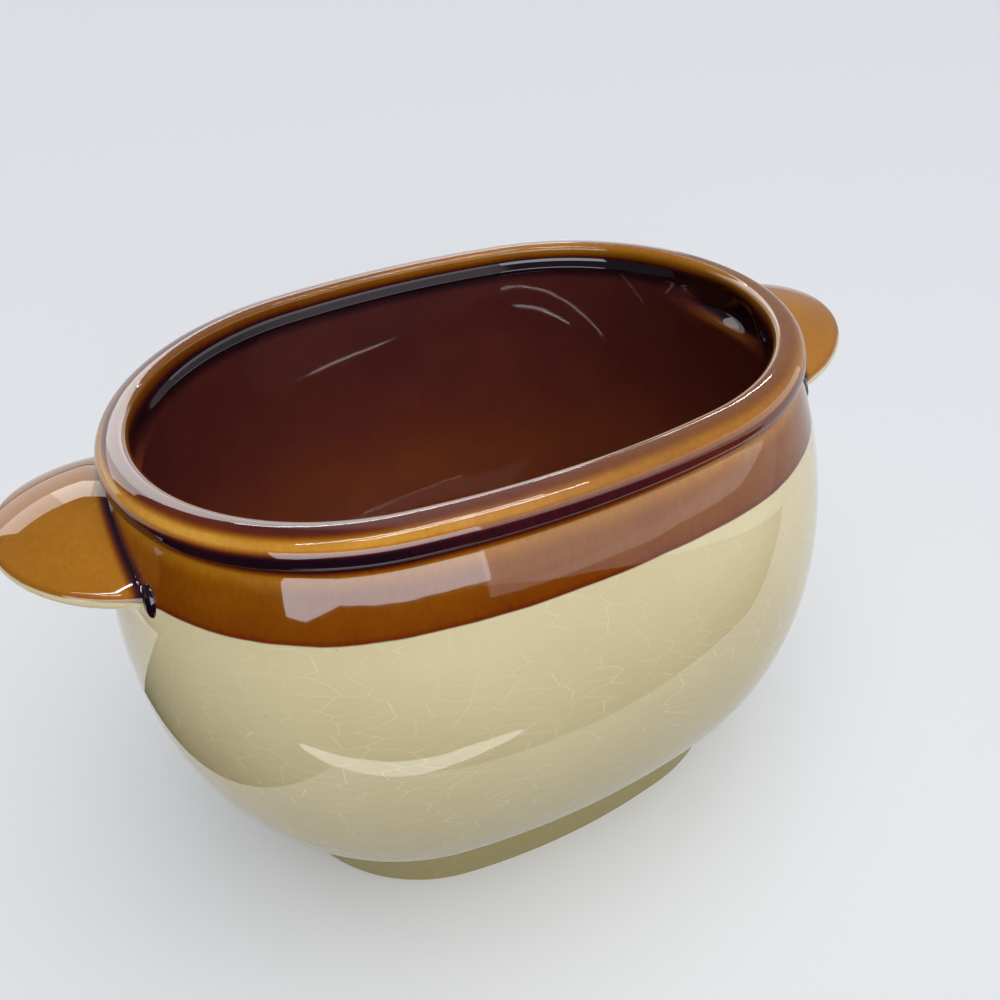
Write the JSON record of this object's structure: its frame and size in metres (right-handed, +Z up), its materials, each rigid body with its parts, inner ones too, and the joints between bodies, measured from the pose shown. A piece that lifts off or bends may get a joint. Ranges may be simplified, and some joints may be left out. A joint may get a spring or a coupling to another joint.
{
  "type": "gravy tureen",
  "caption": "Oval stoneware gravy tureen with a bulbous belly, rolled rim, flared foot ring and domed lug handles at its ends, glazed brown inside and at the neck and cream below.",
  "frame": {"origin": "middle of the foot ring, on the table", "axes": "+X along the long way of the oval, towards the right lug; +Y along the short way, away from the front; +Z up"},
  "size_m": [0.194, 0.1306, 0.122],
  "materials": {
    "clay": "bare fired stoneware, matte",
    "cream_glaze": "glossy crazed cream glaze",
    "brown_glaze": "glossy brown glaze, amber where thin and nearly black where it pools",
    "inside_glaze": "glossy dark brown glaze"
  },
  "bodies": {
    "root": {"bowl_body": "clay", "rim_bead": "clay", "foot_ring": "clay", "left_lug": "clay", "right_lug": "clay", "foot_cream_glaze": "cream_glaze", "belly_cream_glaze": "cream_glaze", "left_lug_cream_glaze": "cream_glaze", "right_lug_cream_glaze": "cream_glaze", "neck_brown_glaze": "brown_glaze", "rim_brown_glaze": "brown_glaze", "left_lug_brown_glaze": "brown_glaze", "right_lug_brown_glaze": "brown_glaze", "inside_brown_glaze": "inside_glaze"}
  },
  "joints": []
}
